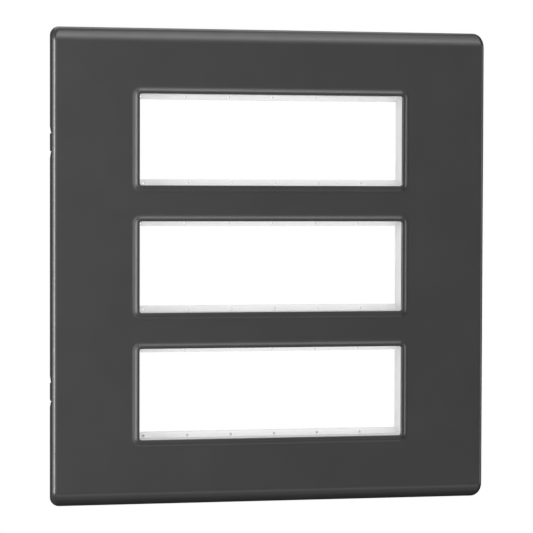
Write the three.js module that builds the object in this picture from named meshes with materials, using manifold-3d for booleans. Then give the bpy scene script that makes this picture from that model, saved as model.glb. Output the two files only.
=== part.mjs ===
// Wall plate cover for modular wiring devices: three rows of six, clipped onto a screwed support frame.
// Millimetres. +X is right, +Z is up and the front faces -Y. The origin is the centre of the plate on
// the wall surface, so everything in front of the wall has a negative y.
import * as THREE from "three";
import { mergeVertices } from "three/addons/utils/BufferGeometryUtils.js";
import Module from "manifold-3d";

// Driving dimensions of the cover.
const COVER_WIDTH = 222.8;
const COVER_HEIGHT = 238.8;
const COVER_DEPTH = 9;
const COVER_WALL = 2.2;
const CORNER_RADIUS = 4.3;
const SIDE_EDGE_RADIUS = 2.2;
const ROLL_RADIUS = 8;

// Windows: six modules of 22.5 mm side by side, 45 mm tall, with a little clearance.
const MODULE_PITCH = 22.5;
const MODULES_PER_ROW = 6;
const WINDOW_WIDTH = 135.3;
const WINDOW_HEIGHT = 45.6;
const WINDOW_RADIUS = 1;
const ROW_PITCH = 63.6;
const ROW_NAMES = ["bottom", "middle", "top"];
const LIP_HEIGHT = 0.8;
const LIP_ROOT = 0.15;
const LIP_LAND = 0.9;
const LIP_SLOPE = 2.2;
const LIP_SHELL = 1.6;

// Ribs inside the cover.
const RIB = 1.2;
const RIB_DEPTH = 1.8;
const RIB_TO_COLLAR = 0.6;
const STIFFENER_WIDTH = 192;
const STIFFENER_HEIGHT = 206;
const STIFFENER_RADIUS = 4;

// Snap tabs: tongues freed from the side walls at the rear rim, hinged at their front end.
const TAB_Z = 62;
const TAB_LENGTH = 9.1;
const TAB_REACH = 5.8;
const TAB_GAP = 0.3;
const TAB_CHAMFER = 0.7;
const TAB_CHAMFER_DEPTH = 1.6;
const NOTCH_DEPTH = 3.6;
const NOTCH_LENGTH = 15.8;
const HOOK_STANDOFF = 0.3;
const HOOK_LENGTH = 7;
const HOOK_NOSE = 0.4;
const HOOK_HEEL = 0.3;
const HOOK_TO_WALL = 0.2;

// Support frame.
const FLANGE_THICKNESS = 2.2;
const FLANGE_WIDTH = 215.4;
const FLANGE_HEIGHT = 229.8;
const FLANGE_RADIUS = 3;
const RIM_WALL = 1.6;
const RIM_HEIGHT = 2.4;
const COLLAR_WALL = 1.8;
const COLLAR_FRONT_GAP = 0.4;
const COLLAR_BEHIND_WALL = 3.5;
const NOSE_WALL = 1;
const NOSE_GAP = 0.3;
const LEDGE_THICKNESS = 2;
const LEDGE_TOP = 2.4;
const LEDGE_BOTTOM = 3;
const LOCATING_HOLE_RADIUS = 0.55;
const LOCATING_HOLE_X = { bottom: 3.6, top: 2.1 };
const LOCATING_HOLE_FROM_WALL = 1.1;
const LOCATING_HOLE_FLOOR = 0.4;
const WEB_RIB = 1.4;
const PAD_LENGTH = 15;
const PAD_HEIGHT = 10;
const PAD_RADIUS = 3;
const PAD_RISE = 0.8;
const CATCH_NOTCH_LENGTH = 11;
const CATCH_NOTCH_DEPTH = 3;

// Fixing screws.
const SCREW_X = 84;
const SCREW_RADIUS = 1.75;
const SCREW_LENGTH = 20;
const SCREW_TIP = 2.4;
const SCREW_TIP_RADIUS = 0.6;
const HEAD_RADIUS = 3.5;
const HEAD_HEIGHT = 2.4;
const HEAD_SEAT_GAP = 0.1;
const RECESS_LENGTH = 4;
const RECESS_WIDTH = 0.9;
const RECESS_DEPTH = 1.3;
const SLOT_RADIUS = 2.1;
const SLOT_LENGTH = 8;

const faceY = -COVER_DEPTH;
const innerFaceY = faceY + COVER_WALL;
const innerHalfWidth = COVER_WIDTH / 2 - COVER_WALL;
const collarFrontY = innerFaceY + COLLAR_FRONT_GAP;
const pocketFloorY = faceY - LIP_HEIGHT + LIP_SHELL;
const noseFrontY = pocketFloorY + NOSE_GAP;
const flangeFrontY = -FLANGE_THICKNESS;
const screwSeatY = flangeFrontY - PAD_RISE;
// How far a cutting solid runs past what it cuts, and how far a rib is sunk into what it stands on.
const past = 1;
const sunk = 0.5;
const rows = ROW_NAMES.map((name, index) => ({ name, z: (index - 1) * ROW_PITCH }));
const sides = [
  { name: "left", sign: -1 },
  { name: "right", sign: 1 },
];
const levels = [
  { name: "lower", sign: -1 },
  { name: "upper", sign: 1 },
];

const wasm = await Module();
wasm.setup();

const axisX = new THREE.Vector3(1, 0, 0);
const axisY = new THREE.Vector3(0, 1, 0);
const axisZ = new THREE.Vector3(0, 0, 1);
// Extruded outlines are drawn in the XZ plane (front view), the YZ plane (side view) or the XY plane.
const alongY = new THREE.Matrix4().makeBasis(axisX, axisZ, axisY.clone().negate());
const alongX = new THREE.Matrix4().makeBasis(axisY, axisZ, axisX);
const alongZ = new THREE.Matrix4();

function solid(geometry) {
  const bare = geometry.clone();
  bare.deleteAttribute("normal");
  bare.deleteAttribute("uv");
  const merged = mergeVertices(bare, 1e-4);
  return new wasm.Manifold(
    new wasm.Mesh({
      numProp: 3,
      vertProperties: new Float32Array(merged.attributes.position.array),
      triVerts: new Uint32Array(merged.index.array),
    }),
  );
}

function geometryOf(body) {
  const mesh = body.getMesh();
  const geometry = new THREE.BufferGeometry();
  geometry.setAttribute("position", new THREE.BufferAttribute(mesh.vertProperties, 3));
  geometry.setIndex(new THREE.BufferAttribute(mesh.triVerts, 1));
  const flat = geometry.toNonIndexed();
  flat.computeVertexNormals();
  return flat;
}

// A box given by its lowest and highest corners.
function block([x0, y0, z0], [x1, y1, z1]) {
  const geometry = new THREE.BoxGeometry(x1 - x0, y1 - y0, z1 - z0);
  return solid(geometry.translate((x0 + x1) / 2, (y0 + y1) / 2, (z0 + z1) / 2));
}

function roundedRectangle(width, height, radius) {
  const x = width / 2 - radius;
  const y = height / 2 - radius;
  const shape = new THREE.Shape();
  shape.absarc(x, y, radius, 0, Math.PI / 2);
  shape.absarc(-x, y, radius, Math.PI / 2, Math.PI);
  shape.absarc(-x, -y, radius, Math.PI, Math.PI * 1.5);
  shape.absarc(x, -y, radius, Math.PI * 1.5, Math.PI * 2);
  shape.closePath();
  return shape;
}

function prism(shape, length, basis, curveSegments) {
  const geometry = new THREE.ExtrudeGeometry(shape, { depth: length, bevelEnabled: false, curveSegments });
  return geometry.applyMatrix4(basis);
}

// A front-view rounded rectangle as a slab from y0 to y1, centred at height z.
function slab(width, height, radius, y0, y1, z = 0) {
  const geometry = prism(roundedRectangle(width, height, radius), y1 - y0, alongY, 6);
  return solid(geometry.translate(0, y1, z));
}

// Side view of the shell: the front's top and bottom edges roll back towards the wall.
function rolledProfile(halfHeight, frontY, rearY, radius) {
  const shape = new THREE.Shape();
  shape.moveTo(rearY, -halfHeight);
  shape.lineTo(rearY, halfHeight);
  shape.absarc(frontY + radius, halfHeight - radius, radius, Math.PI / 2, Math.PI);
  shape.absarc(frontY + radius, -halfHeight + radius, radius, Math.PI, Math.PI * 1.5);
  shape.closePath();
  return shape;
}

// Top view of the shell: the front's side edges have a small round.
function edgedProfile(halfWidth, frontY, rearY, radius) {
  const shape = new THREE.Shape();
  shape.moveTo(halfWidth, rearY);
  shape.lineTo(-halfWidth, rearY);
  shape.absarc(-halfWidth + radius, frontY + radius, radius, Math.PI, Math.PI * 1.5);
  shape.absarc(halfWidth - radius, frontY + radius, radius, Math.PI * 1.5, Math.PI * 2);
  shape.closePath();
  return shape;
}

// The common volume of the front, side and top views, offset inwards by inset from the outer surface.
function shellVolume(inset, rearY) {
  const halfWidth = COVER_WIDTH / 2 - inset;
  const halfHeight = COVER_HEIGHT / 2 - inset;
  const frontY = faceY + inset;
  const edgeRadius = Math.max(SIDE_EDGE_RADIUS - inset, 0.3);
  const rolled = rolledProfile(halfHeight, frontY, rearY + past, ROLL_RADIUS - inset);
  const edged = edgedProfile(halfWidth, frontY, rearY + past, edgeRadius);
  const fromSide = prism(rolled, 2 * (halfWidth + past), alongX, 10).translate(-halfWidth - past, 0, 0);
  const fromTop = prism(edged, 2 * (halfHeight + past), alongZ, 4).translate(0, 0, -halfHeight - past);
  const fromFront = slab(2 * halfWidth, 2 * halfHeight, CORNER_RADIUS - inset / 2, frontY - past, rearY);
  return fromFront.intersect(solid(fromSide)).intersect(solid(fromTop));
}

// The raised lip round a window, swelling out of the face. Its root is sunk a little behind the face.
function windowLip(z) {
  const land = roundedRectangle(
    WINDOW_WIDTH + 2 * LIP_LAND,
    WINDOW_HEIGHT + 2 * LIP_LAND,
    WINDOW_RADIUS + LIP_LAND,
  );
  const geometry = new THREE.ExtrudeGeometry(land, {
    depth: LIP_ROOT,
    bevelEnabled: true,
    bevelThickness: LIP_HEIGHT + LIP_ROOT,
    bevelSize: LIP_SLOPE,
    bevelSegments: 2,
    curveSegments: 4,
  });
  return solid(geometry.applyMatrix4(alongY).translate(0, faceY + 2 * LIP_ROOT, z));
}

// The step behind a window's lip, which leaves the lip a thin shell round the nose of the frame's collar.
function lipPocket(z) {
  const offset = NOSE_WALL + NOSE_GAP;
  const width = WINDOW_WIDTH + 2 * offset;
  const height = WINDOW_HEIGHT + 2 * offset;
  return slab(width, height, WINDOW_RADIUS + offset, pocketFloorY, innerFaceY + past, z);
}

// A rib that stands on the inside of the face and runs round a rounded rectangle centred at height z.
function ringRib(innerWidth, innerHeight, radius, z) {
  const frontY = innerFaceY - COVER_WALL / 2;
  const rearY = innerFaceY + RIB_DEPTH;
  const outer = slab(innerWidth + 2 * RIB, innerHeight + 2 * RIB, radius + RIB, frontY, rearY, z);
  return outer.subtract(slab(innerWidth, innerHeight, radius, frontY - past, rearY + past, z));
}

function windowRib(z) {
  const offset = COLLAR_WALL + RIB_TO_COLLAR;
  return ringRib(WINDOW_WIDTH + 2 * offset, WINDOW_HEIGHT + 2 * offset, offset, z);
}

// The recess in a side wall's rear edge: tapered ends, and a slot that frees the tab.
function tabRecess(z) {
  const slotHalf = TAB_LENGTH / 2 + TAB_GAP;
  const shape = new THREE.Shape();
  shape.moveTo(past, -NOTCH_LENGTH / 2);
  shape.lineTo(0, -NOTCH_LENGTH / 2);
  shape.lineTo(-NOTCH_DEPTH, -slotHalf);
  shape.lineTo(-TAB_REACH - TAB_GAP, -slotHalf);
  shape.lineTo(-TAB_REACH - TAB_GAP, slotHalf);
  shape.lineTo(-NOTCH_DEPTH, slotHalf);
  shape.lineTo(0, NOTCH_LENGTH / 2);
  shape.lineTo(past, NOTCH_LENGTH / 2);
  shape.closePath();
  return prism(shape, COVER_WALL + 2 * past, alongX, 1).translate(0, 0, z);
}

function frontCover() {
  let cover = shellVolume(0, 0).subtract(shellVolume(COVER_WALL, past));
  for (const { z } of rows) {
    cover = cover.add(windowLip(z)).add(windowRib(z));
  }
  cover = cover.add(ringRib(STIFFENER_WIDTH, STIFFENER_HEIGHT, STIFFENER_RADIUS, 0));
  for (const { z } of rows) {
    const opening = slab(WINDOW_WIDTH, WINDOW_HEIGHT, WINDOW_RADIUS, faceY - 2 * past, innerFaceY + past, z);
    cover = cover.subtract(opening).subtract(lipPocket(z));
  }
  for (const side of sides) {
    for (const level of levels) {
      const fromX = side.sign > 0 ? innerHalfWidth - past : -COVER_WIDTH / 2 - past;
      cover = cover.subtract(solid(tabRecess(level.sign * TAB_Z).translate(fromX, 0, 0)));
    }
  }
  return cover;
}

// A tongue flush with the side wall, with a hook on its inner face that snaps behind the frame's rim.
function snapTab(side, z) {
  const half = TAB_LENGTH / 2;
  const outline = new THREE.Shape();
  outline.moveTo(-TAB_REACH, -half);
  outline.lineTo(-TAB_REACH, half);
  outline.lineTo(-TAB_CHAMFER_DEPTH, half);
  outline.lineTo(0, half - TAB_CHAMFER);
  outline.lineTo(0, -half + TAB_CHAMFER);
  outline.lineTo(-TAB_CHAMFER_DEPTH, -half);
  outline.closePath();
  const fromX = side.sign > 0 ? innerHalfWidth : -COVER_WIDTH / 2;
  const tongue = solid(prism(outline, COVER_WALL, alongX, 1).translate(fromX, 0, z));
  const tipX = FLANGE_WIDTH / 2 + HOOK_STANDOFF;
  const hookFrontY = flangeFrontY + HOOK_STANDOFF;
  const hook = new THREE.Shape();
  hook.moveTo(side.sign * (innerHalfWidth + COVER_WALL / 2), hookFrontY);
  hook.lineTo(side.sign * tipX, hookFrontY);
  hook.lineTo(side.sign * tipX, hookFrontY + HOOK_NOSE);
  hook.lineTo(side.sign * (innerHalfWidth + HOOK_HEEL), -HOOK_TO_WALL);
  hook.lineTo(side.sign * (innerHalfWidth + COVER_WALL / 2), -HOOK_TO_WALL);
  hook.closePath();
  return tongue.add(solid(prism(hook, HOOK_LENGTH, alongZ, 1).translate(0, 0, z - HOOK_LENGTH / 2)));
}

// One small locating hole for each device in a window's bottom or top ledge, ending at rearY.
function locatingHoles(z, ledge, rearY) {
  const offset = WINDOW_HEIGHT / 2 - LOCATING_HOLE_FROM_WALL;
  const holeZ = ledge === "top" ? z + offset : z - offset;
  const frontY = COLLAR_BEHIND_WALL - LEDGE_THICKNESS - past;
  const holes = [];
  for (let k = 0; k < MODULES_PER_ROW; k++) {
    const x = (k - MODULES_PER_ROW / 2) * MODULE_PITCH + LOCATING_HOLE_X[ledge];
    const hole = new THREE.CylinderGeometry(LOCATING_HOLE_RADIUS, LOCATING_HOLE_RADIUS, rearY - frontY, 8);
    holes.push(solid(hole.translate(x, (frontY + rearY) / 2, holeZ)));
  }
  return holes;
}

// A collar round a window, with a thinner nose in front that reaches in behind the cover's lip.
function collarBlock(z) {
  const width = WINDOW_WIDTH + 2 * COLLAR_WALL;
  const height = WINDOW_HEIGHT + 2 * COLLAR_WALL;
  const collar = slab(width, height, WINDOW_RADIUS + COLLAR_WALL, collarFrontY, COLLAR_BEHIND_WALL, z);
  const noseWidth = WINDOW_WIDTH + 2 * NOSE_WALL;
  const noseHeight = WINDOW_HEIGHT + 2 * NOSE_WALL;
  return collar.add(
    slab(noseWidth, noseHeight, WINDOW_RADIUS + NOSE_WALL, noseFrontY, collarFrontY + sunk, z),
  );
}

// A collar's hollow: the window's size in front, and less tall at the rear, where an inward ledge along
// the top and the bottom carries the devices.
function collarHollow(z) {
  const front = slab(
    WINDOW_WIDTH,
    WINDOW_HEIGHT,
    WINDOW_RADIUS,
    noseFrontY - past,
    COLLAR_BEHIND_WALL - LEDGE_THICKNESS,
    z,
  );
  const low = z - WINDOW_HEIGHT / 2 + LEDGE_BOTTOM;
  const high = z + WINDOW_HEIGHT / 2 - LEDGE_TOP;
  const rear = slab(
    WINDOW_WIDTH,
    high - low,
    WINDOW_RADIUS / 2,
    COLLAR_BEHIND_WALL - LEDGE_THICKNESS - past,
    COLLAR_BEHIND_WALL + past,
    (low + high) / 2,
  );
  return front.add(rear);
}

function rim() {
  const frontY = flangeFrontY - RIM_HEIGHT;
  const outer = slab(FLANGE_WIDTH, FLANGE_HEIGHT, FLANGE_RADIUS, frontY, flangeFrontY + sunk);
  const inner = slab(
    FLANGE_WIDTH - 2 * RIM_WALL,
    FLANGE_HEIGHT - 2 * RIM_WALL,
    FLANGE_RADIUS - RIM_WALL,
    frontY - past,
    flangeFrontY + past,
  );
  return outer.subtract(inner);
}

// Ribs that join the collars of neighbouring rows, and the end rows to the rim, at each module boundary.
function webRibs() {
  const frontY = flangeFrontY - RIM_HEIGHT;
  const collarHalf = WINDOW_HEIGHT / 2 + COLLAR_WALL / 2;
  const spans = [
    [-FLANGE_HEIGHT / 2 + RIM_WALL / 2, -ROW_PITCH - collarHalf],
    [-ROW_PITCH + collarHalf, -collarHalf],
    [collarHalf, ROW_PITCH - collarHalf],
    [ROW_PITCH + collarHalf, FLANGE_HEIGHT / 2 - RIM_WALL / 2],
  ];
  const ribs = [];
  for (let k = 1; k < MODULES_PER_ROW; k++) {
    const x = (k - MODULES_PER_ROW / 2) * MODULE_PITCH;
    for (const [low, high] of spans) {
      ribs.push(block([x - WEB_RIB / 2, frontY, low], [x + WEB_RIB / 2, flangeFrontY + sunk, high]));
    }
  }
  return ribs;
}

// The raised pad under a screw's head, and the slot through it.
function screwPad(x, z) {
  return slab(PAD_LENGTH, PAD_HEIGHT, PAD_RADIUS, screwSeatY, flangeFrontY + sunk, z).translate([x, 0, 0]);
}

function screwSlot(x, z) {
  const slot = roundedRectangle(SLOT_LENGTH, 2 * SLOT_RADIUS, SLOT_RADIUS - 0.01);
  return solid(prism(slot, past - screwSeatY + past, alongY, 6).translate(x, past, z));
}

// Where the tab's hook reaches behind the rim, the flange is cut away.
function catchNotch(side, z) {
  const edge = (side.sign * FLANGE_WIDTH) / 2;
  const inner = edge - side.sign * CATCH_NOTCH_DEPTH;
  const outer = edge + side.sign * past;
  const half = CATCH_NOTCH_LENGTH / 2;
  return block(
    [Math.min(inner, outer), flangeFrontY, z - half],
    [Math.max(inner, outer), past, z + half],
  );
}

function supportFrame() {
  let frame = slab(FLANGE_WIDTH, FLANGE_HEIGHT, FLANGE_RADIUS, flangeFrontY, 0).add(rim());
  for (const rib of webRibs()) {
    frame = frame.add(rib);
  }
  for (const { z } of rows) {
    frame = frame.add(collarBlock(z));
    for (const side of sides) {
      frame = frame.add(screwPad(side.sign * SCREW_X, z));
    }
  }
  const throughY = COLLAR_BEHIND_WALL + past;
  const blindY = COLLAR_BEHIND_WALL - LOCATING_HOLE_FLOOR;
  for (const { name, z } of rows) {
    frame = frame.subtract(collarHollow(z));
    const lowerHoles = locatingHoles(z, "bottom", name === "bottom" ? blindY : throughY);
    for (const hole of [...lowerHoles, ...locatingHoles(z, "top", throughY)]) {
      frame = frame.subtract(hole);
    }
    for (const side of sides) {
      frame = frame.subtract(screwSlot(side.sign * SCREW_X, z));
    }
  }
  for (const side of sides) {
    for (const level of levels) {
      frame = frame.subtract(catchNotch(side, level.sign * TAB_Z));
    }
  }
  return frame;
}

// A pan head screw along +Y, its head's underside just in front of its pad.
function screw(x, z) {
  const seatY = screwSeatY - HEAD_SEAT_GAP;
  const crownY = seatY - HEAD_HEIGHT;
  const profile = [
    new THREE.Vector2(0, seatY + SCREW_LENGTH),
    new THREE.Vector2(SCREW_TIP_RADIUS, seatY + SCREW_LENGTH),
    new THREE.Vector2(SCREW_RADIUS, seatY + SCREW_LENGTH - SCREW_TIP),
    new THREE.Vector2(SCREW_RADIUS, seatY),
    new THREE.Vector2(HEAD_RADIUS, seatY),
    new THREE.Vector2(HEAD_RADIUS, seatY - 0.45 * HEAD_HEIGHT),
    new THREE.Vector2(0.8 * HEAD_RADIUS, crownY + 0.15 * HEAD_HEIGHT),
    new THREE.Vector2(0.4 * HEAD_RADIUS, crownY),
    new THREE.Vector2(0, crownY),
  ];
  const body = solid(new THREE.LatheGeometry(profile.reverse(), 24));
  const long = RECESS_LENGTH / 2;
  const short = RECESS_WIDTH / 2;
  const bottomY = crownY + RECESS_DEPTH;
  const across = block([-long, crownY - past, -short], [long, bottomY, short]);
  const upright = block([-short, crownY - past, -long], [short, bottomY, long]);
  return body.subtract(across).subtract(upright).translate([x, 0, z]);
}

const graphite = new THREE.MeshStandardMaterial({ color: 0x3f4042, roughness: 0.45, metalness: 0 });
const white = new THREE.MeshStandardMaterial({ color: 0xe9e9e6, roughness: 0.5, metalness: 0 });
const zinc = new THREE.MeshStandardMaterial({ color: 0xb9bcc0, roughness: 0.35, metalness: 1 });

const plate = new THREE.Group();

function addPiece(name, body, material) {
  const mesh = new THREE.Mesh(geometryOf(body), material);
  mesh.name = name;
  plate.add(mesh);
}

addPiece("front_cover", frontCover(), graphite);
addPiece("support_frame", supportFrame(), white);
for (const side of sides) {
  for (const level of levels) {
    addPiece(`snap_tab_${side.name}_${level.name}`, snapTab(side, level.sign * TAB_Z), graphite);
  }
  for (const row of rows) {
    addPiece(`frame_screw_${side.name}_${row.name}`, screw(side.sign * SCREW_X, row.z), zinc);
  }
}

export default plate;
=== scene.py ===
"""A wall plate cover for modular wiring devices: a graphite cover clipped on a white support frame.

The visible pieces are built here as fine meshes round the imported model. Lengths are in millimetres
until a mesh is made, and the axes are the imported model's: +X right, +Z up, the front faces -Y, the
wall is y = 0.
"""

import math

import bmesh
import bpy
from mathutils import Matrix, Vector
from mathutils.geometry import tessellate_polygon


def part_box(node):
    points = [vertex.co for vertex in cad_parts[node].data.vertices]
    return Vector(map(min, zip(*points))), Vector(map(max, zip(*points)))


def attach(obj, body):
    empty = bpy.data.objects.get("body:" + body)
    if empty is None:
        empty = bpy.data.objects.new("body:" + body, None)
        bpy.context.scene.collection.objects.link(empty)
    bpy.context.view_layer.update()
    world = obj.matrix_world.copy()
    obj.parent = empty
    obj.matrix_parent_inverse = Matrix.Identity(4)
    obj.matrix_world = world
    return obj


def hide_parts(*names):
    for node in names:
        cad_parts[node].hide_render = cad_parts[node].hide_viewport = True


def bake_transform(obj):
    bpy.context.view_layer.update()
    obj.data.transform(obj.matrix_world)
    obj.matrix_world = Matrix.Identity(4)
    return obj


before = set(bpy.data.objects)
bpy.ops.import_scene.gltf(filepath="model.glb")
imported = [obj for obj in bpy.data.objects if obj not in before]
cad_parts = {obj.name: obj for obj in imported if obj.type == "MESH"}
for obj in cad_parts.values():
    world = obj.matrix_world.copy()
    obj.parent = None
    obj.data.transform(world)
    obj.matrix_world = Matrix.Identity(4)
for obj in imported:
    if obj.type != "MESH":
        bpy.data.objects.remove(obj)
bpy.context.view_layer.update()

MM = 0.001
SIDES = {"left": -1, "right": 1}
LEVELS = {"lower": -1, "upper": 1}
ROWS = ("bottom", "middle", "top")


def box_mm(node):
    low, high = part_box(node)
    return low / MM, high / MM


def centre_mm(node):
    low, high = box_mm(node)
    return (low + high) / 2


# The cover.
cover_low, cover_high = box_mm("front_cover")
HALF_WIDTH = cover_high.x
HALF_HEIGHT = cover_high.z
COVER_WALL = 2.2
CORNER_RADIUS = 4.3
SIDE_EDGE_RADIUS = 2.2
INNER_EDGE_RADIUS = 0.3
ROLL_RADIUS = 8.0
LIP_HEIGHT = 0.8
LIP_FOOT = 4.1
LIP_STEEPEST = 1.75
LIP_CREST = 0.9
LIP_INNER_ROUND = 0.35
LIP_SHELL = 1.6
FACE_Y = cover_low.y + LIP_HEIGHT
INNER_FACE_Y = FACE_Y + COVER_WALL
POCKET_FLOOR_Y = FACE_Y - LIP_HEIGHT + LIP_SHELL
COVER_EDGE_BREAK = 0.12
LIP_STEPS = 6

# The windows.
WINDOW_HALF_WIDTH = 67.65
WINDOW_HALF_HEIGHT = 22.8
WINDOW_RADIUS = 1.0
MODULE_PITCH = 22.5
MODULES = 6
row_z = {row: centre_mm("frame_screw_left_" + row).z for row in ROWS}

# Ribs on the inside of the face.
RIB = 1.2
RIB_DEPTH = 1.8
RIB_FROM_WINDOW = 2.4
STIFFENER_HALF_WIDTH = 96.0
STIFFENER_HALF_HEIGHT = 103.0
STIFFENER_RADIUS = 4.0

# Snap tabs and the recesses round them.
TAB_GAP = 0.3
NOTCH_DEPTH = 3.6
NOTCH_HALF_LENGTH = 7.9
tab_low, tab_high = box_mm("snap_tab_right_upper")
TAB_Z = (tab_low.z + tab_high.z) / 2
TAB_HALF_LENGTH = (tab_high.z - tab_low.z) / 2
TAB_ROOT_Y = tab_low.y
TAB_TIP_X = tab_low.x
TAB_END_CHAMFER = (0.7, 1.6)
HOOK_HALF_LENGTH = 3.5
HOOK_FRONT_Y = -1.9
HOOK_REAR_Y = -0.2
HOOK_NOSE = 0.4
HOOK_HEEL = 0.3
TAB_ROOT_STEPS = 8
SLOT_END_Y = TAB_ROOT_Y - TAB_GAP

# The support frame.
frame_low, frame_high = box_mm("support_frame")
FLANGE_FRONT_Y = -2.2
FLANGE_RADIUS = 3.0
RIM_WALL = 1.6
RIM_HEIGHT = 2.4
COLLAR_WALL = 1.8
COLLAR_FRONT_Y = INNER_FACE_Y + 0.4
COLLAR_REAR_Y = frame_high.y
NOSE_WALL = 1.0
NOSE_GAP = 0.3
NOSE_FRONT_Y = frame_low.y
LEDGE_THICKNESS = 2.0
LEDGE_TOP = 2.4
LEDGE_BOTTOM = 3.0
HOLE_RADIUS = 0.55
HOLE_X = {"bottom": 3.6, "top": 2.1}
HOLE_FROM_WALL = 1.1
HOLE_FLOOR = 0.4
WEB_RIB = 1.4
PAD_HALF_LENGTH = 7.5
PAD_HALF_HEIGHT = 5.0
PAD_RADIUS = 3.0
PAD_RISE = 0.8
SLOT_RADIUS = 2.1
SLOT_HALF_LENGTH = 4.0
CATCH_NOTCH_HALF = 5.5
CATCH_NOTCH_DEPTH = 3.0
FRAME_EDGE_BREAK = 0.16

# The screws. HEAD_CROWN_SHARE is how much of the head's height is domed, SHANK_FILLET how far the fillet
# under the head goes beyond the thread and the core and how long it is, RIDGE_HALF_SHARE half of a
# ridge's foot over the pitch, and RIDGE_FADE how soon the ridge is whole again behind the tip.
screw_low, screw_high = box_mm("frame_screw_right_middle")
SCREW_X = (screw_low.x + screw_high.x) / 2
HEAD_RADIUS = (screw_high.x - screw_low.x) / 2
HEAD_CROWN_Y = screw_low.y
HEAD_SEAT_Y = -3.1
HEAD_CROWN_SHARE = 0.62
HEAD_RIM_BREAK = 0.12
HEAD_STEPS = 10
SHANK_FILLET = (0.25, 0.2, 0.35)
SCREW_TIP_Y = screw_high.y
THREAD_RADIUS = 1.75
CORE_RADIUS = 1.2
THREAD_PITCH = 1.35
THREAD_START_Y = HEAD_SEAT_Y + 2.2
TIP_LENGTH = 3.4
TIP_RADIUS = 0.3
RIDGE_HALF_SHARE = 0.3
RIDGE_FADE = 1.6
ROWS_PER_PITCH = 10
RECESS_HALF_LENGTH = 2.0
RECESS_HALF_WIDTH = 0.42
RECESS_DEPTH = 1.3
RECESS_FLOOR_SHARE = 0.55
RECESS_DRAFT_SHARE = 0.4

# How finely round forms are divided, and how far a cutting solid runs past what it cuts.
CORNER_STEPS = 8
ROLL_STEPS = 18
EDGE_STEPS = 7
ROUND_STEPS = 24
HOLE_STEPS = 5
PAST = 1.0
SUNK = 0.5

# Points closer than these, in metres, are one: as built, and after the solids are joined.
SAME_POINT = 1e-7
SAME_CORNER = 2e-6

# Below FLAT_ANGLE faces merge, above SHARP_ANGLE they shade apart, above BEVEL_ANGLE they get a break.
FLAT_ANGLE = math.radians(0.4)
SHARP_ANGLE = math.radians(35)
BEVEL_ANGLE = math.radians(38)
BEVEL_SEGMENTS = 2

# The camera, fitted to the photograph's perspective. LENS and SENSOR_WIDTH are in millimetres, and
# CAMERA_AT is in metres.
LENS = 164.87
CAMERA_AT = Vector((-0.27055, -1.20843, 0.03982))
CAMERA_YAW = math.radians(12.578)
CAMERA_PITCH = math.radians(1.852)
CAMERA_ROLL = math.radians(-0.17)
SENSOR_WIDTH = 36.0

# The stage, in metres, and the even light that fills it.
WORLD_STRENGTH = 0.03
FLOOR_RADIUS = 6.0
FLOOR_Z = -0.35
BACKDROP_RADIUS = 8.0


# Meshes -----------------------------------------------------------------------------------------------


class Surface:
    """Points and faces in millimetres, gathered before they become one mesh."""

    def __init__(self):
        self.points = []
        self.faces = []

    def add(self, points):
        first = len(self.points)
        self.points.extend(Vector(point) for point in points)
        return list(range(first, len(self.points)))

    def bridge(self, one, other, closed=True):
        """Quads between two lines of the same number of points."""
        count = len(one) if closed else len(one) - 1
        for i in range(count):
            j = (i + 1) % len(one)
            self.faces.append((one[i], one[j], other[j], other[i]))

    def fill(self, outline, holes=()):
        """A flat region inside an outline, round its holes."""
        loops = [outline, *holes]
        indices = [index for loop in loops for index in loop]
        for triangle in tessellate_polygon([[self.points[i] for i in loop] for loop in loops]):
            self.faces.append(tuple(indices[corner] for corner in triangle))

    def mesh(self, name):
        built = bmesh.new()
        vertices = [built.verts.new(point * MM) for point in self.points]
        for face in self.faces:
            built.faces.new([vertices[i] for i in face])
        bmesh.ops.remove_doubles(built, verts=built.verts, dist=SAME_POINT)
        bmesh.ops.recalc_face_normals(built, faces=built.faces)
        mesh = bpy.data.meshes.new(name)
        built.to_mesh(mesh)
        built.free()
        return mesh


def new_object(name, mesh):
    made = bpy.data.objects.new(name, mesh)
    bpy.context.scene.collection.objects.link(made)
    return made


def rounded_outline(half_width, half_height, radius, y, z=0.0, steps=CORNER_STEPS):
    """A front-view rounded rectangle centred on x = 0 at height z."""
    points = []
    for quadrant in range(4):
        across = 1 if quadrant in (0, 3) else -1
        upward = 1 if quadrant in (0, 1) else -1
        for step in range(steps + 1):
            angle = math.pi / 2 * (quadrant + step / steps)
            x = across * (half_width - radius) + radius * math.cos(angle)
            points.append((x, y, z + upward * (half_height - radius) + radius * math.sin(angle)))
    return points


def slab(half_width, half_height, radius, y0, y1, x=0.0, z=0.0, steps=CORNER_STEPS):
    """A closed rounded rectangle from y0 to y1."""
    surface = Surface()
    loops = []
    for y in (y0, y1):
        outline = rounded_outline(half_width, half_height, radius, y, z, steps)
        loops.append(surface.add([(px + x, py, pz) for px, py, pz in outline]))
    surface.bridge(*loops)
    surface.faces.extend(tuple(loop) for loop in loops)
    return new_object("slab", surface.mesh("slab"))


def block(low, high):
    """A closed box between two corners."""
    surface = Surface()
    loops = []
    for y in (low[1], high[1]):
        corners = [(low[0], low[2]), (high[0], low[2]), (high[0], high[2]), (low[0], high[2])]
        loops.append(surface.add([(x, y, z) for x, z in corners]))
    surface.bridge(*loops)
    surface.faces.extend(tuple(loop) for loop in loops)
    return new_object("block", surface.mesh("block"))


def combine(piece, others, operation):
    """Joins or cuts the piece with the other solids, which are then removed."""
    group = bpy.data.collections.new("others")
    for other in others:
        group.objects.link(other)
    boolean = piece.modifiers.new("boolean", "BOOLEAN")
    boolean.operation = operation
    boolean.operand_type = "COLLECTION"
    boolean.collection = group
    boolean.solver = "EXACT"
    apply_modifiers(piece)
    for other in others:
        bpy.data.objects.remove(other)
    bpy.data.collections.remove(group)


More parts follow.
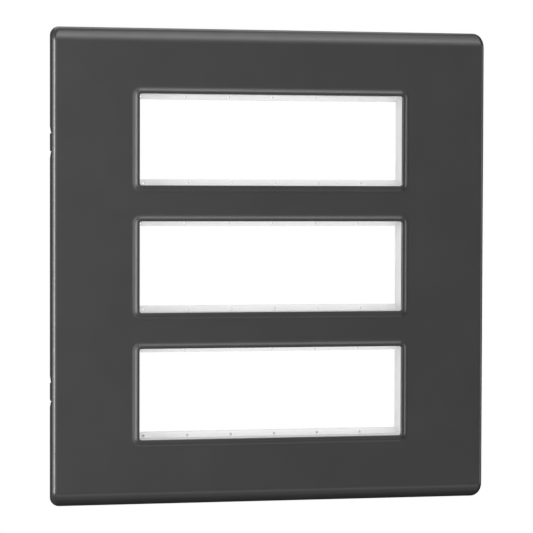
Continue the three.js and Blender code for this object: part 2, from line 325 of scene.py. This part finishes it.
def apply_modifiers(piece):
    depsgraph = bpy.context.evaluated_depsgraph_get()
    depsgraph.update()
    mesh = bpy.data.meshes.new_from_object(piece.evaluated_get(depsgraph))
    mesh.name = piece.name
    piece.modifiers.clear()
    piece.data = mesh


def finish_edges(piece, width):
    """Breaks the sharp edges, and shades the piece so that its flat faces stay flat."""
    built = bmesh.new()
    built.from_mesh(piece.data)
    bmesh.ops.remove_doubles(built, verts=built.verts, dist=SAME_CORNER)
    bmesh.ops.dissolve_limit(
        built,
        angle_limit=FLAT_ANGLE,
        verts=built.verts,
        edges=built.edges,
    )
    built.to_mesh(piece.data)
    built.free()
    bevel = piece.modifiers.new("edge break", "BEVEL")
    bevel.width = width * MM
    bevel.segments = BEVEL_SEGMENTS
    bevel.limit_method = "ANGLE"
    bevel.angle_limit = BEVEL_ANGLE
    bevel.use_clamp_overlap = False
    bevel.miter_outer = "MITER_ARC"
    apply_modifiers(piece)
    shade(piece)


def shade(piece):
    piece.data.shade_smooth()
    piece.data.set_sharp_from_angle(angle=SHARP_ANGLE)
    weighted = piece.modifiers.new("weighted normals", "WEIGHTED_NORMAL")
    weighted.mode = "FACE_AREA"
    weighted.keep_sharp = True
    apply_modifiers(piece)


# The cover --------------------------------------------------------------------------------------------


def shell_rows(surface, inset):
    """Rows of points from side to side: from the bottom's rear edge, round the front, to the top's."""
    half_width = HALF_WIDTH - inset
    half_height = HALF_HEIGHT - inset
    front_y = FACE_Y + inset
    roll = ROLL_RADIUS - inset
    edge = max(SIDE_EDGE_RADIUS - inset, INNER_EDGE_RADIUS)
    corner = CORNER_RADIUS - inset / 2
    stations = [(0.0, -half_height, -math.pi / 2)]
    for sign in (-1, 1):
        for step in range(ROLL_STEPS + 1):
            tilt = math.pi / 2 * (step / ROLL_STEPS - (1 if sign < 0 else 0))
            y = front_y + roll * (1 - math.cos(tilt))
            stations.append((y, sign * (half_height - roll) + roll * math.sin(tilt), tilt))
    stations.append((0.0, half_height, math.pi / 2))
    rows = []
    for y, z, tilt in stations:
        radius = edge + (corner - edge) * math.sin(tilt) ** 2
        points = []
        for side in (-1, 1):
            for step in range(EDGE_STEPS + 1):
                share = step / EDGE_STEPS
                turn = math.pi / 2 * (1 - share if side < 0 else share)
                x = side * (half_width - radius + radius * math.sin(turn))
                back = radius * (1 - math.cos(turn))
                points.append((x, y + back * math.cos(tilt), z - back * math.sin(tilt)))
        rows.append(surface.add(points))
    return rows


def recess_outline():
    """(y, z) from bottom to top along a side wall's rear edge, round its two tab recesses."""
    slot_half = TAB_HALF_LENGTH + TAB_GAP
    points = []
    for z in (-TAB_Z, TAB_Z):
        points += [
            (0.0, z - NOTCH_HALF_LENGTH),
            (-NOTCH_DEPTH, z - slot_half),
            (SLOT_END_Y, z - slot_half),
            (SLOT_END_Y, z + slot_half),
            (-NOTCH_DEPTH, z + slot_half),
            (0.0, z + NOTCH_HALF_LENGTH),
        ]
    return points


def shell_skin(surface, inset):
    """All of one skin except its flat front. Returns the rear outline and the front's four corners."""
    rows = shell_rows(surface, inset)
    before_face = ROLL_STEPS + 1
    left_flat = EDGE_STEPS
    for index in range(len(rows) - 1):
        if index == before_face:
            for part in (slice(0, left_flat + 1), slice(left_flat + 1, None)):
                surface.bridge(rows[index][part], rows[index + 1][part], closed=False)
        else:
            surface.bridge(rows[index], rows[index + 1], closed=False)
    rear = {}
    for side, column in ((-1, 0), (1, -1)):
        x = side * (HALF_WIDTH - inset)
        rear[side] = surface.add([(x, y, z) for y, z in recess_outline()])
        surface.fill([row[column] for row in rows] + rear[side][::-1])
    outline = rows[0] + rear[1] + rows[-1][::-1] + rear[-1][::-1]
    low, high = rows[before_face], rows[before_face + 1]
    return outline, [low[left_flat], low[left_flat + 1], high[left_flat + 1], high[left_flat]]


def lip_profile():
    """(distance outside the window, height above the face), from the lip's foot to the window's wall."""
    slope = 2 * math.atan(LIP_HEIGHT / (LIP_FOOT - LIP_CREST))
    flare = (LIP_FOOT - LIP_STEEPEST) / math.sin(slope)
    shoulder = (LIP_STEEPEST - LIP_CREST) / math.sin(slope)
    points = []
    for step in range(LIP_STEPS + 1):
        angle = slope * step / LIP_STEPS
        points.append((LIP_FOOT - flare * math.sin(angle), flare * (1 - math.cos(angle))))
    for step in range(LIP_STEPS - 1, -1, -1):
        angle = slope * step / LIP_STEPS
        out = LIP_CREST + shoulder * math.sin(angle)
        points.append((out, LIP_HEIGHT - shoulder * (1 - math.cos(angle))))
    for step in range(LIP_STEPS + 1):
        angle = math.pi / 2 * step / LIP_STEPS
        out = LIP_INNER_ROUND * (1 - math.sin(angle))
        points.append((out, LIP_HEIGHT - LIP_INNER_ROUND * (1 - math.cos(angle))))
    return points


def window_surround(surface, z):
    """A window's lip, its wall and the step behind the lip. Returns the lip's foot and the rear end."""
    loops = []
    for out, height in lip_profile():
        outline = rounded_outline(
            WINDOW_HALF_WIDTH + out,
            WINDOW_HALF_HEIGHT + out,
            WINDOW_RADIUS + out,
            FACE_Y - height,
            z,
        )
        loops.append(surface.add(outline))
    pocket = NOSE_WALL + NOSE_GAP
    for out, y in ((0.0, POCKET_FLOOR_Y), (pocket, POCKET_FLOOR_Y), (pocket, INNER_FACE_Y)):
        outline = rounded_outline(
            WINDOW_HALF_WIDTH + out,
            WINDOW_HALF_HEIGHT + out,
            WINDOW_RADIUS + out,
            y,
            z,
        )
        loops.append(surface.add(outline))
    for one, other in zip(loops, loops[1:]):
        surface.bridge(one, other)
    return loops[0], loops[-1]


def ring_rib(surface, half_width, half_height, radius, z):
    """A rib standing on the inner face. Returns its inner and its outer foot."""
    feet = []
    tops = []
    for out in (0.0, RIB):
        for y, loops in ((INNER_FACE_Y, feet), (INNER_FACE_Y + RIB_DEPTH, tops)):
            outline = rounded_outline(half_width + out, half_height + out, radius + out, y, z)
            loops.append(surface.add(outline))
    for foot, top in zip(feet, tops):
        surface.bridge(foot, top)
    surface.bridge(*tops)
    return feet


def cover_mesh():
    surface = Surface()
    outer_rear, face = shell_skin(surface, 0.0)
    inner_rear, inner_face = shell_skin(surface, COVER_WALL)
    surface.bridge(outer_rear, inner_rear)
    feet = []
    rib_feet = []
    for z in row_z.values():
        foot, wall_end = window_surround(surface, z)
        feet.append(foot)
        inner_foot, outer_foot = ring_rib(
            surface,
            WINDOW_HALF_WIDTH + RIB_FROM_WINDOW,
            WINDOW_HALF_HEIGHT + RIB_FROM_WINDOW,
            RIB_FROM_WINDOW,
            z,
        )
        surface.bridge(wall_end, inner_foot)
        rib_feet.append(outer_foot)
    surface.fill(face, feet)
    stiffener = ring_rib(surface, STIFFENER_HALF_WIDTH, STIFFENER_HALF_HEIGHT, STIFFENER_RADIUS, 0.0)
    surface.fill(stiffener[0], rib_feet)
    surface.fill(inner_face, [stiffener[1]])
    return surface.mesh("cover_shell")


def make_cover(material):
    cover = new_object("cover_shell", cover_mesh())
    finish_edges(cover, COVER_EDGE_BREAK)
    cover.data.materials.append(material)
    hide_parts("front_cover")
    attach(cover, "cover")
    return [cover]


# The snap tabs ----------------------------------------------------------------------------------------


def tab_mesh(side, z):
    """A tongue flush with the side wall, joined to it at its front, with a hook inside near its end."""
    surface = Surface()
    outer_x = side * HALF_WIDTH
    inner_x = side * (HALF_WIDTH - COVER_WALL)
    narrow, long = TAB_END_CHAMFER
    outline = []
    for step in range(TAB_ROOT_STEPS + 1):
        y = SLOT_END_Y + (-long - SLOT_END_Y) * step / TAB_ROOT_STEPS
        outline.append((y, TAB_HALF_LENGTH))
    outline.append((0.0, TAB_HALF_LENGTH - narrow))
    lower = [(y, -half) for y, half in reversed(outline)]
    loops = [surface.add([(x, y, z + dz) for y, dz in outline + lower]) for x in (outer_x, inner_x)]
    surface.bridge(*loops)
    count = len(outline)
    for loop in loops:
        surface.bridge(loop[:count], loop[count:][::-1], closed=False)
    return surface.mesh("snap_tab")


def hook_block(side, z):
    surface = Surface()
    tip = side * TAB_TIP_X
    heel = side * (HALF_WIDTH - COVER_WALL + HOOK_HEEL)
    root = side * (HALF_WIDTH - COVER_WALL / 2)
    profile = [
        (root, HOOK_FRONT_Y),
        (tip, HOOK_FRONT_Y),
        (tip, HOOK_FRONT_Y + HOOK_NOSE),
        (heel, HOOK_REAR_Y),
        (root, HOOK_REAR_Y),
    ]
    loops = []
    for dz in (-HOOK_HALF_LENGTH, HOOK_HALF_LENGTH):
        loops.append(surface.add([(x, y, z + dz) for x, y in profile]))
    surface.bridge(*loops)
    surface.faces.extend(tuple(loop) for loop in loops)
    return new_object("hook", surface.mesh("hook"))


def make_tabs(material):
    tabs = []
    for side_name, side in SIDES.items():
        for level_name, level in LEVELS.items():
            node = f"snap_tab_{side_name}_{level_name}"
            tab = new_object(f"tab_{side_name}_{level_name}", tab_mesh(side, level * TAB_Z))
            combine(tab, [hook_block(side, level * TAB_Z)], "UNION")
            finish_edges(tab, COVER_EDGE_BREAK)
            tab.data.materials.append(material)
            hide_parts(node)
            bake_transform(tab)
            tabs.append(tab)
    return tabs


# The support frame ------------------------------------------------------------------------------------


def frame_solids():
    """What is joined to the flange: ribs, collars with their thinner noses, and screw pads."""
    rib_front = FLANGE_FRONT_Y - RIM_HEIGHT
    solids = []
    collar_half = WINDOW_HALF_HEIGHT + COLLAR_WALL / 2
    low, middle, high = (row_z[row] for row in ROWS)
    spans = [
        (frame_low.z + RIM_WALL / 2, low - collar_half),
        (low + collar_half, middle - collar_half),
        (middle + collar_half, high - collar_half),
        (high + collar_half, frame_high.z - RIM_WALL / 2),
    ]
    for k in range(1, MODULES):
        x = (k - MODULES / 2) * MODULE_PITCH
        for z0, z1 in spans:
            corner = (x - WEB_RIB / 2, rib_front, z0)
            solids.append(block(corner, (x + WEB_RIB / 2, FLANGE_FRONT_Y + SUNK, z1)))
    for z in row_z.values():
        solids.append(
            slab(
                WINDOW_HALF_WIDTH + COLLAR_WALL,
                WINDOW_HALF_HEIGHT + COLLAR_WALL,
                WINDOW_RADIUS + COLLAR_WALL,
                COLLAR_FRONT_Y,
                COLLAR_REAR_Y,
                z=z,
            )
        )
        solids.append(
            slab(
                WINDOW_HALF_WIDTH + NOSE_WALL,
                WINDOW_HALF_HEIGHT + NOSE_WALL,
                WINDOW_RADIUS + NOSE_WALL,
                NOSE_FRONT_Y,
                COLLAR_FRONT_Y + SUNK,
                z=z,
            )
        )
        for side in SIDES.values():
            pad_front = FLANGE_FRONT_Y - PAD_RISE
            solids.append(
                slab(
                    PAD_HALF_LENGTH,
                    PAD_HALF_HEIGHT,
                    PAD_RADIUS,
                    pad_front,
                    FLANGE_FRONT_Y + SUNK,
                    x=side * SCREW_X,
                    z=z,
                )
            )
    return solids


def hollow_solids(z):
    """A collar's hollow: the window's size in front, less tall behind where its two ledges are."""
    ledge_y = COLLAR_REAR_Y - LEDGE_THICKNESS
    front_y = NOSE_FRONT_Y - PAST
    low = z - WINDOW_HALF_HEIGHT + LEDGE_BOTTOM
    high = z + WINDOW_HALF_HEIGHT - LEDGE_TOP
    half = (high - low) / 2
    return [
        slab(WINDOW_HALF_WIDTH, WINDOW_HALF_HEIGHT, WINDOW_RADIUS, front_y, ledge_y, z=z),
        slab(
            WINDOW_HALF_WIDTH,
            half,
            WINDOW_RADIUS / 2,
            ledge_y - PAST,
            COLLAR_REAR_Y + PAST,
            z=(low + high) / 2,
        ),
    ]


def locating_holes(row):
    """A small hole for each device in a row's two ledges: through, but blind in the lowest ledge."""
    offset = WINDOW_HALF_HEIGHT - HOLE_FROM_WALL
    y0 = COLLAR_REAR_Y - LEDGE_THICKNESS - PAST
    holes = []
    for ledge, sign in (("bottom", -1), ("top", 1)):
        y1 = COLLAR_REAR_Y + PAST
        if row == ledge == "bottom":
            y1 = COLLAR_REAR_Y - HOLE_FLOOR
        for k in range(MODULES):
            x = (k - MODULES / 2) * MODULE_PITCH + HOLE_X[ledge]
            z = row_z[row] + sign * offset
            holes.append(slab(HOLE_RADIUS, HOLE_RADIUS, HOLE_RADIUS, y0, y1, x, z, HOLE_STEPS))
    return holes


def frame_cuts():
    cuts = []
    for row, z in row_z.items():
        cuts += hollow_solids(z) + locating_holes(row)
        for side in SIDES.values():
            x = side * SCREW_X
            y0 = FLANGE_FRONT_Y - PAD_RISE - PAST
            cuts.append(slab(SLOT_HALF_LENGTH, SLOT_RADIUS, SLOT_RADIUS, y0, PAST, x, z))
    for side in SIDES.values():
        edge = side * frame_high.x
        x0, x1 = sorted((edge - side * CATCH_NOTCH_DEPTH, edge + side * PAST))
        for level in LEVELS.values():
            z = level * TAB_Z
            low = (x0, FLANGE_FRONT_Y, z - CATCH_NOTCH_HALF)
            cuts.append(block(low, (x1, PAST, z + CATCH_NOTCH_HALF)))
    return cuts


def rim_cut():
    """The space inside the rim, which leaves the rim standing in front of the flange."""
    return slab(
        frame_high.x - RIM_WALL,
        frame_high.z - RIM_WALL,
        FLANGE_RADIUS - RIM_WALL,
        FLANGE_FRONT_Y - RIM_HEIGHT - PAST,
        FLANGE_FRONT_Y,
    )


def make_frame(material):
    front_y = FLANGE_FRONT_Y - RIM_HEIGHT
    made = slab(frame_high.x, frame_high.z, FLANGE_RADIUS, front_y, 0.0)
    made.name = "device_frame"
    combine(made, [rim_cut()], "DIFFERENCE")
    combine(made, frame_solids(), "UNION")
    combine(made, frame_cuts(), "DIFFERENCE")
    finish_edges(made, FRAME_EDGE_BREAK)
    made.data.materials.clear()
    made.data.materials.append(material)
    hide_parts("support_frame")
    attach(made, "frame")
    return [made]


# The screws -------------------------------------------------------------------------------------------


def head_profile():
    """(radius, y) from the crown's centre to the head's underside."""
    crown = HEAD_CROWN_SHARE * (HEAD_SEAT_Y - HEAD_CROWN_Y)
    points = []
    for step in range(HEAD_STEPS + 1):
        angle = math.pi / 2 * step / HEAD_STEPS
        y = HEAD_CROWN_Y + crown * (1 - math.cos(angle))
        points.append((HEAD_RADIUS * math.sin(angle), y))
    points.append((HEAD_RADIUS, HEAD_SEAT_Y - HEAD_RIM_BREAK))
    points.append((HEAD_RADIUS - HEAD_RIM_BREAK, HEAD_SEAT_Y))
    return points


def thread_radius(y, turn):
    """The thread's radius at a place along the screw and round it: a sharp ridge on a round core."""
    phase = ((y - THREAD_START_Y) / THREAD_PITCH - turn) % 1.0
    ridge = max(0.0, 1.0 - abs(phase - 0.5) / RIDGE_HALF_SHARE)
    run_in = min(1.0, max(0.0, (y - THREAD_START_Y) / THREAD_PITCH))
    taper = min(1.0, max(0.0, (SCREW_TIP_Y - y) / TIP_LENGTH))
    core = TIP_RADIUS + (CORE_RADIUS - TIP_RADIUS) * math.sin(taper * math.pi / 2)
    return core + (THREAD_RADIUS - CORE_RADIUS) * ridge * run_in * min(1.0, RIDGE_FADE * taper)


def screw_mesh():
    surface = Surface()
    loops = []
    for radius, y in head_profile()[1:]:
        loops.append([(radius, y)] * ROUND_STEPS)
    beyond_thread, beyond_core, length = SHANK_FILLET
    loops.append([(THREAD_RADIUS + beyond_thread, HEAD_SEAT_Y)] * ROUND_STEPS)
    loops.append([(CORE_RADIUS + beyond_core, HEAD_SEAT_Y + length)] * ROUND_STEPS)
    rows = int((SCREW_TIP_Y - THREAD_START_Y) / THREAD_PITCH * ROWS_PER_PITCH)
    for row in range(rows + 1):
        y = THREAD_START_Y + (SCREW_TIP_Y - THREAD_START_Y) * row / rows
        loops.append([(thread_radius(y, step / ROUND_STEPS), y) for step in range(ROUND_STEPS)])
    rings = []
    for loop in loops:
        points = []
        for step, (radius, y) in enumerate(loop):
            angle = 2 * math.pi * step / ROUND_STEPS
            points.append((radius * math.cos(angle), y, radius * math.sin(angle)))
        rings.append(surface.add(points))
    for one, other in zip(rings, rings[1:]):
        surface.bridge(one, other)
    for ring, y in ((rings[0], HEAD_CROWN_Y), (rings[-1], SCREW_TIP_Y)):
        (tip,) = surface.add([(0.0, y, 0.0)])
        for i in range(ROUND_STEPS):
            surface.faces.append((ring[i], ring[(i + 1) % ROUND_STEPS], tip))
    return surface.mesh("screw")


def recess_cutter(turned):
    """One bar of the head's cross recess, narrowing towards its bottom."""
    surface = Surface()
    loops = []
    for y, share in ((HEAD_CROWN_Y - PAST, 1.0), (HEAD_CROWN_Y + RECESS_DEPTH, RECESS_FLOOR_SHARE)):
        long = RECESS_HALF_LENGTH * share
        short = RECESS_HALF_WIDTH * (1 - RECESS_DRAFT_SHARE + RECESS_DRAFT_SHARE * share)
        corners = [(-long, -short), (long, -short), (long, short), (-long, short)]
        if turned:
            corners = [(-b, a) for a, b in corners]
        loops.append(surface.add([(x, y, z) for x, z in corners]))
    surface.bridge(*loops)
    surface.faces.extend(tuple(loop) for loop in loops)
    return new_object("recess", surface.mesh("recess"))


def make_screws(material):
    pattern = new_object("screw", screw_mesh())
    combine(pattern, [recess_cutter(False), recess_cutter(True)], "DIFFERENCE")
    shade(pattern)
    pattern.data.materials.clear()
    pattern.data.materials.append(material)
    screws = []
    for side_name, side in SIDES.items():
        for row in ROWS:
            screw = new_object(f"screw_{side_name}_{row}", pattern.data.copy())
            screw.data.transform(Matrix.Translation(Vector((side * SCREW_X, 0.0, row_z[row])) * MM))
            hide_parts(f"frame_screw_{side_name}_{row}")
            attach(screw, "frame")
            screws.append(screw)
    bpy.data.objects.remove(pattern)
    return screws


# Materials --------------------------------------------------------------------------------------------


NOISE_RANGE = (0.3, 0.7)
CLOUD_DETAIL = 3.0
FINE_DETAIL = 2.0
PATCH_SCALE = 2.7
GRAIN_STRENGTH = 0.6


def noise(nodes, links, coordinates, scale, detail):
    texture = nodes.new("ShaderNodeTexNoise")
    texture.inputs["Scale"].default_value = scale
    texture.inputs["Detail"].default_value = detail
    links.new(coordinates.outputs["Object"], texture.inputs["Vector"])
    return texture


def ranged(nodes, links, source, low, high):
    """The noise stretched over its usual range and mapped to low and high."""
    mapped = nodes.new("ShaderNodeMapRange")
    mapped.inputs["From Min"].default_value = NOISE_RANGE[0]
    mapped.inputs["From Max"].default_value = NOISE_RANGE[1]
    mapped.inputs["To Min"].default_value = low
    mapped.inputs["To Max"].default_value = high
    links.new(source.outputs["Fac"], mapped.inputs["Value"])
    return mapped


def surface_material(name, colours, roughness, grain, metallic=0.0, cloud=40.0):
    """A moulded or plated surface: cloudy colour and roughness, and a fine grain of real height.

    colours and roughness are (low, high), grain is (scale per metre, height in metres), and cloud is
    the clouds' scale per metre.
    """
    material = bpy.data.materials.new(name)
    material.use_nodes = True
    nodes = material.node_tree.nodes
    links = material.node_tree.links
    shader = nodes["Principled BSDF"]
    shader.inputs["Metallic"].default_value = metallic
    coordinates = nodes.new("ShaderNodeTexCoord")
    clouds = noise(nodes, links, coordinates, cloud, CLOUD_DETAIL)
    blend = nodes.new("ShaderNodeMix")
    blend.data_type = "RGBA"
    blend.inputs["A"].default_value = (*colours[0], 1.0)
    blend.inputs["B"].default_value = (*colours[1], 1.0)
    links.new(ranged(nodes, links, clouds, 0.0, 1.0).outputs["Result"], blend.inputs["Factor"])
    links.new(blend.outputs["Result"], shader.inputs["Base Color"])
    patches = noise(nodes, links, coordinates, PATCH_SCALE * cloud, FINE_DETAIL)
    links.new(ranged(nodes, links, patches, *roughness).outputs["Result"], shader.inputs["Roughness"])
    scale, height = grain
    grains = noise(nodes, links, coordinates, scale, FINE_DETAIL)
    bump = nodes.new("ShaderNodeBump")
    bump.inputs["Strength"].default_value = GRAIN_STRENGTH
    bump.inputs["Distance"].default_value = height
    links.new(grains.outputs["Fac"], bump.inputs["Height"])
    links.new(bump.outputs["Normal"], shader.inputs["Normal"])
    return material


def graphite_plastic():
    low = (0.0264, 0.0265, 0.0270)
    high = (0.0288, 0.0289, 0.0294)
    return surface_material("graphite_plastic", (low, high), (0.28, 0.33), (5200.0, 0.000006))


def white_plastic():
    low = (0.780, 0.782, 0.780)
    high = (0.815, 0.816, 0.812)
    return surface_material("white_plastic", (low, high), (0.40, 0.48), (3800.0, 0.000008))


def zinc_plate():
    low = (0.520, 0.535, 0.550)
    high = (0.640, 0.645, 0.640)
    return surface_material("zinc_plate", (low, high), (0.26, 0.40), (6500.0, 0.000006), 1.0, 260.0)


# Camera, lights and stage -----------------------------------------------------------------------------


def make_camera():
    camera_data = bpy.data.cameras.new("camera")
    camera_data.lens = LENS
    camera_data.sensor_width = SENSOR_WIDTH
    camera_data.clip_start = 0.05
    camera_data.clip_end = 60.0
    camera = new_object("camera", camera_data)
    turn = (
        Matrix.Rotation(CAMERA_ROLL, 3, "Z")
        @ Matrix.Rotation(CAMERA_PITCH, 3, "X")
        @ Matrix.Rotation(CAMERA_YAW, 3, "Y")
    )
    upright = Matrix(((1, 0, 0), (0, 0, -1), (0, 1, 0)))
    camera.matrix_world = Matrix.Translation(CAMERA_AT) @ (upright @ turn.transposed()).to_4x4()
    bpy.context.scene.camera = camera


def soft_light(name, direction, distance, size, radiance, pieces):
    """A rectangular soft light in a direction from the plate, facing it, of a given brightness.

    It lights the pieces of one collection, as cards and flags would arrange it in a studio.
    """
    away = Vector(direction).normalized()
    data = bpy.data.lights.new(name, "AREA")
    data.shape = "RECTANGLE"
    data.size, data.size_y = size
    data.energy = radiance * math.pi * size[0] * size[1]
    light = new_object(name, data)
    facing = away.to_track_quat("Z", "Y").to_matrix().to_4x4()
    light.matrix_world = Matrix.Translation(away * distance) @ facing
    light.visible_camera = False
    light.light_linking.receiver_collection = pieces


# The lights: a direction from the plate, a distance and a (width, height) in metres, and a radiance.
COVER_LIGHTS = {
    "front": ((0.05, -1.0, 0.10), 2.4, (1.6, 1.6), 0.15),
    "front_left": ((-0.26, -0.97, 0.05), 2.2, (0.6, 1.7), 3.2),
    "left_near": ((-0.64, -0.77, 0.05), 2.2, (0.5, 1.7), 4.0),
    "left_main": ((-0.81, -0.59, 0.05), 2.2, (0.4, 1.7), 30.0),
    "left_side": ((-0.91, -0.41, 0.05), 2.2, (0.4, 1.7), 5.5),
    "left_edge": ((-1.0, 0.035, 0.05), 2.2, (0.5, 1.7), 7.0),
    "right_main": ((0.82, -0.57, 0.05), 2.2, (0.35, 1.7), 0.5),
    "right_side": ((0.93, -0.37, 0.05), 2.2, (0.35, 1.7), 7.5),
    "right_edge": ((0.99, -0.10, 0.05), 2.2, (0.4, 1.7), 0.5),
    "top_front": ((0.15, -0.79, 0.62), 2.2, (1.6, 0.5), 2.2),
    "top_main": ((0.15, -0.59, 0.81), 2.2, (1.6, 0.5), 5.4),
    "top_over": ((0.15, -0.34, 0.94), 2.2, (1.6, 0.5), 2.8),
    "top_edge": ((0.15, -0.07, 1.0), 2.2, (1.6, 0.5), 2.3),
    "low_front": ((0.15, -0.79, -0.61), 2.2, (1.6, 0.5), 1.5),
    "low_main": ((0.15, -0.47, -0.88), 2.2, (1.6, 0.5), 0.5),
    "behind_top": ((0.0, 0.75, 0.80), 2.4, (1.6, 1.0), 1.5),
    "behind_right": ((0.55, 0.83, 0.10), 2.4, (1.2, 1.4), 2.0),
}
FRAME_LIGHTS = {
    "frame_front": ((0.0, -1.0, 0.0), 2.4, (3.0, 3.0), 2.0),
    "frame_left": ((-0.90, -0.45, 0.0), 2.4, (1.5, 2.5), 3.3),
    "frame_right": ((0.90, -0.45, 0.0), 2.4, (1.5, 2.5), 2.4),
    "frame_top": ((0.0, -0.45, 0.90), 2.4, (2.5, 1.5), 1.25),
    "frame_low": ((0.0, -0.45, -0.90), 2.4, (2.5, 1.5), 1.5),
    "frame_behind": ((0.0, 1.0, 0.20), 2.4, (3.0, 3.0), 1.7),
}


def make_lights(cover_pieces, frame_pieces):
    for lights, pieces in ((COVER_LIGHTS, cover_pieces), (FRAME_LIGHTS, frame_pieces)):
        lit = bpy.data.collections.new("lit")
        for piece in pieces:
            lit.objects.link(piece)
        for name, (direction, distance, size, radiance) in lights.items():
            soft_light(name, direction, distance, size, radiance, lit)
    world = bpy.data.worlds.new("studio")
    world.use_nodes = True
    background = world.node_tree.nodes["Background"]
    background.inputs["Color"].default_value = (1.0, 1.0, 1.0, 1.0)
    background.inputs["Strength"].default_value = WORLD_STRENGTH
    bpy.context.scene.world = world
    bpy.context.scene.view_settings.view_transform = "Standard"
    bpy.context.scene.view_settings.look = "None"


def white_light_material():
    material = bpy.data.materials.new("white_backdrop")
    material.use_nodes = True
    nodes = material.node_tree.nodes
    nodes.remove(nodes["Principled BSDF"])
    glow = nodes.new("ShaderNodeEmission")
    glow.inputs["Color"].default_value = (1.0, 1.0, 1.0, 1.0)
    glow.inputs["Strength"].default_value = 1.0
    material.node_tree.links.new(glow.outputs["Emission"], nodes["Material Output"].inputs["Surface"])
    return material


def make_stage():
    """A pale floor and a round backdrop, seen by the camera only, so the plate is on plain white."""
    material = white_light_material()
    floor_mesh = bpy.data.meshes.new("floor")
    dome_mesh = bpy.data.meshes.new("backdrop")
    built = bmesh.new()
    bmesh.ops.create_circle(built, cap_ends=True, segments=96, radius=FLOOR_RADIUS)
    bmesh.ops.translate(built, verts=built.verts, vec=(0.0, 0.0, FLOOR_Z))
    built.to_mesh(floor_mesh)
    built.free()
    built = bmesh.new()
    bmesh.ops.create_uvsphere(built, u_segments=64, v_segments=32, radius=BACKDROP_RADIUS)
    built.to_mesh(dome_mesh)
    built.free()
    for name, mesh in (("floor", floor_mesh), ("backdrop", dome_mesh)):
        mesh.materials.append(material)
        stage = new_object(name, mesh)
        stage.visible_diffuse = False
        stage.visible_glossy = False
        stage.visible_transmission = False
        stage.visible_volume_scatter = False
        stage.visible_shadow = False


graphite = graphite_plastic()
white = white_plastic()
zinc = zinc_plate()
make_camera()
make_stage()
cover_pieces = make_cover(graphite) + make_tabs(graphite)
frame_pieces = make_frame(white) + make_screws(zinc)
make_lights(cover_pieces, frame_pieces)
